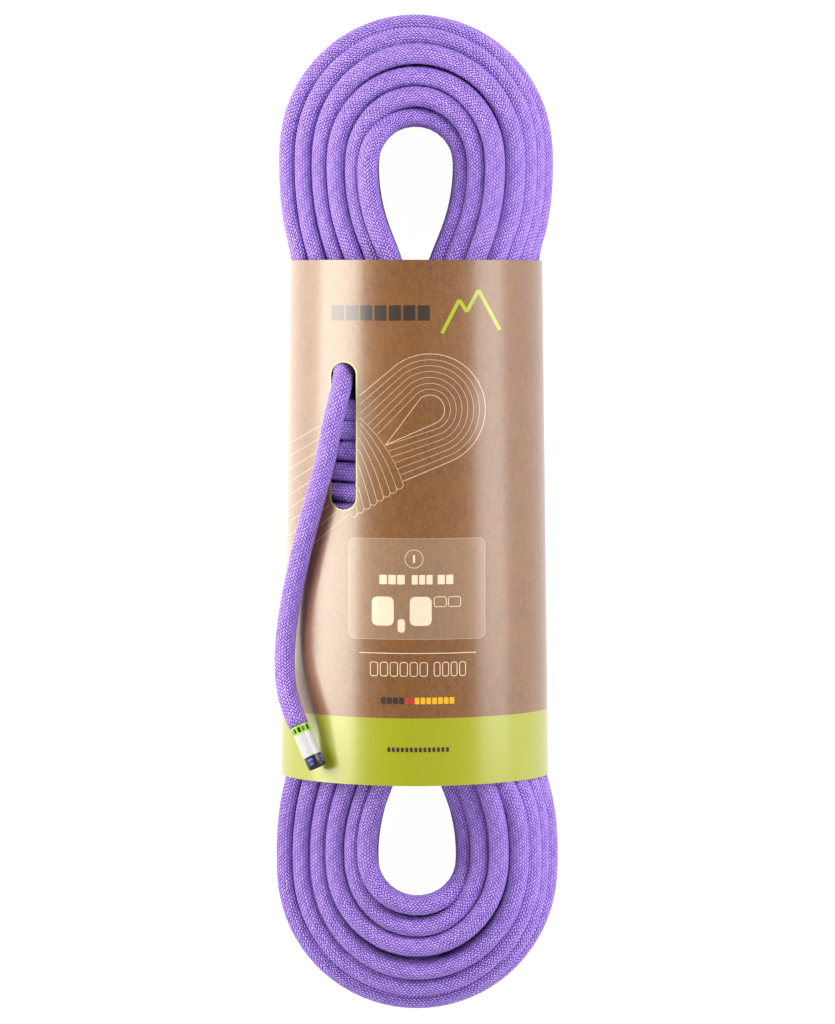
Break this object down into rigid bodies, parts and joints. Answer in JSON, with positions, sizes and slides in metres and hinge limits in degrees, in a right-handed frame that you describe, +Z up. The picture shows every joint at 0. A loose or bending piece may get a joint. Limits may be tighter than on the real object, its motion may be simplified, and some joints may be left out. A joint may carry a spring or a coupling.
{
  "type": "climbing rope",
  "caption": "Dynamic climbing rope in its retail hank: oval loops wound round the waist, a printed card sleeve with a slot, and a loose end with a banded label.",
  "frame": {"origin": "centre of the resting box's bottom face; the hank lies on its back", "axes": "+X across the hank, +Y along it towards the head loops, +Z up out of the front that carries the slot and the loose end"},
  "size_m": [0.1334, 0.4762, 0.119],
  "materials": {
    "sheath_yarn": "matte",
    "core_yarn": "matte",
    "label_film": "satin",
    "melted_yarn": "satin",
    "printed_card": "satin",
    "glue": "matte"
  },
  "bodies": {
    "root": {"hank": "sheath_yarn", "waist_windings": "sheath_yarn", "loose_end_root": "sheath_yarn", "inner_end_sheath": "sheath_yarn", "inner_end_core_strand_1": "core_yarn", "inner_end_core_strand_2": "core_yarn", "inner_end_core_strand_3": "core_yarn", "inner_end_core_strand_4": "core_yarn", "inner_end_core_strand_5": "core_yarn", "inner_end_core_strand_6": "core_yarn", "inner_end_core_strand_7": "core_yarn", "inner_end_label": "label_film", "inner_end_melted_tip": "melted_yarn"},
    "sleeve": {"card_sleeve": "printed_card", "glue_strip": "glue"},
    "tail": {"loose_end_sheath": "sheath_yarn", "loose_end_core_strand_1": "core_yarn", "loose_end_core_strand_2": "core_yarn", "loose_end_core_strand_3": "core_yarn", "loose_end_core_strand_4": "core_yarn", "loose_end_core_strand_5": "core_yarn", "loose_end_core_strand_6": "core_yarn", "loose_end_core_strand_7": "core_yarn", "loose_end_label": "label_film", "loose_end_melted_tip": "melted_yarn"}
  },
  "joints": [
    {"name": "sleeve_slide", "type": "slide", "parent": "root", "child": "sleeve", "axis": [0, 1, 0], "range_m": [0, 0.005]},
    {"name": "tail_lift", "type": "hinge", "parent": "root", "child": "tail", "pos_m": [-0.0332, 0.0691, 0.1029], "axis": [-1, 0, 0], "range_deg": [0, 55]}
  ]
}
